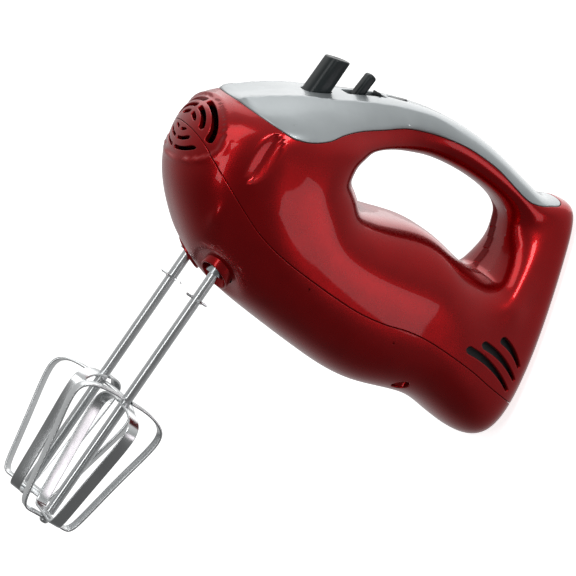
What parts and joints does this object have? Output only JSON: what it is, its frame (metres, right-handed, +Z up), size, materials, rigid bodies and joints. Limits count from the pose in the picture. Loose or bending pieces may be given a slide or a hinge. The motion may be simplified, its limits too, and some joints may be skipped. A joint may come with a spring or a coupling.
{
  "type": "hand mixer",
  "caption": "Hand mixer with a loop handle, silver top cover over a glossy red body, slide speed control, eject button and a pair of looped beaters; stands on its heel.",
  "frame": {"origin": "middle of the flat heel face that the mixer stands on", "axes": "+Z up with the mixer standing on its heel, +X towards the handle side, beaters towards -X, Y across the body"},
  "size_m": [0.25, 0.0872, 0.2161],
  "materials": {
    "red_gloss": "metallic red lacquer over moulded ABS, clear gloss",
    "silver_plastic": "silver-grey paint on moulded ABS, satin gloss",
    "black_gloss": "polished black ABS",
    "black_rubber": "moulded rubber",
    "bright_steel": "ground steel",
    "polished_steel": "chromium-plated steel strip and rod",
    "bronze": "sintered bronze",
    "motor_iron": "laminated electrical steel",
    "enamelled_copper": "enamelled copper wire",
    "frame_nylon": "moulded nylon",
    "brass": "turned brass",
    "carbon": "pressed carbon",
    "dark_plastic": "moulded phenolic"
  },
  "bodies": {
    "housing": {"lower_housing": "red_gloss", "upper_housing": "red_gloss", "top_cover": "silver_plastic", "speed_slot_plate": "black_gloss", "cord_gland": "black_rubber", "housing_screws": "bright_steel", "socket_collar_left": "red_gloss", "socket_collar_right": "red_gloss", "spindle_bushes": "bronze", "field_stack": "motor_iron", "field_coils": "enamelled_copper", "gear_frame": "frame_nylon", "motor_bracket": "frame_nylon", "front_bearing": "bronze", "middle_bearing": "bronze", "rear_bearing": "bronze", "brush_holders": "brass", "carbon_brushes": "carbon", "speed_switch": "dark_plastic", "boost_switch": "dark_plastic", "eject_spring": "bright_steel", "boost_spring": "bright_steel"},
    "armature": {"motor_shaft": "bright_steel", "worm": "brass", "armature_core": "motor_iron", "armature_windings": "enamelled_copper", "commutator": "enamelled_copper", "cooling_fan": "frame_nylon"},
    "spindle_left": {"spindle_left": "bright_steel", "worm_wheel_left": "frame_nylon"},
    "spindle_right": {"spindle_right": "bright_steel", "worm_wheel_right": "frame_nylon"},
    "pusher_left": {"ejector_pin_left": "bright_steel"},
    "pusher_right": {"ejector_pin_right": "bright_steel"},
    "beater_left": {"beater_shaft_left": "polished_steel", "beater_low_loop_left": "polished_steel", "beater_high_loop_left": "polished_steel", "beater_cap_left": "polished_steel"},
    "beater_right": {"beater_shaft_right": "polished_steel", "beater_low_loop_right": "polished_steel", "beater_high_loop_right": "polished_steel", "beater_cap_right": "polished_steel"},
    "eject_button": {"eject_button": "black_gloss", "ejector_yoke": "frame_nylon"},
    "speed_slider": {"speed_slider": "black_gloss", "slider_carriage": "dark_plastic"},
    "boost_button": {"boost_button": "black_gloss"}
  },
  "joints": [
    {"name": "motor_spin", "type": "hinge", "parent": "housing", "child": "armature", "pos_m": [0.00492, 0, 0.16355], "axis": [-0.225, 0, -0.9744], "continuous": true},
    {"name": "spindle_left_spin", "type": "hinge", "parent": "housing", "child": "spindle_left", "pos_m": [0.00492, -0.019, 0.16355], "axis": [0.9744, 0, -0.225], "continuous": true},
    {"name": "spindle_right_spin", "type": "hinge", "parent": "housing", "child": "spindle_right", "pos_m": [0.00492, 0.019, 0.16355], "axis": [0.9744, 0, -0.225], "continuous": true},
    {"name": "eject_press", "type": "slide", "parent": "housing", "child": "eject_button", "axis": [-0.9744, 0, 0.225], "range_m": [0, 0.008], "stiffness_N_per_m": 400, "springref_m": -0.006, "deforming": ["eject_spring"]},
    {"name": "pusher_left_slide", "type": "slide", "parent": "spindle_left", "child": "pusher_left", "axis": [-0.9744, 0, 0.225], "range_m": [0, 0.008]},
    {"name": "pusher_right_slide", "type": "slide", "parent": "spindle_right", "child": "pusher_right", "axis": [-0.9744, 0, 0.225], "range_m": [0, 0.008]},
    {"name": "beater_left_pull", "type": "slide", "parent": "pusher_left", "child": "beater_left", "axis": [-0.9744, 0, 0.225], "range_m": [0, 0.034]},
    {"name": "beater_right_pull", "type": "slide", "parent": "pusher_right", "child": "beater_right", "axis": [-0.9744, 0, 0.225], "range_m": [0, 0.034]},
    {"name": "speed_slide", "type": "slide", "parent": "housing", "child": "speed_slider", "axis": [0.309, 0, -0.9511], "range_m": [0, 0.005]},
    {"name": "boost_press", "type": "slide", "parent": "housing", "child": "boost_button", "axis": [-0.9703, 0, -0.2419], "range_m": [0, 0.0014], "stiffness_N_per_m": 500, "springref_m": -0.001, "deforming": ["boost_spring"]}
  ],
  "couplings": [
    {"joint": "spindle_left_spin", "follows": "motor_spin", "ratio": 0.041667},
    {"joint": "spindle_right_spin", "follows": "motor_spin", "ratio": -0.041667},
    {"joint": "pusher_left_slide", "follows": "eject_press", "ratio": 1},
    {"joint": "pusher_right_slide", "follows": "eject_press", "ratio": 1}
  ]
}
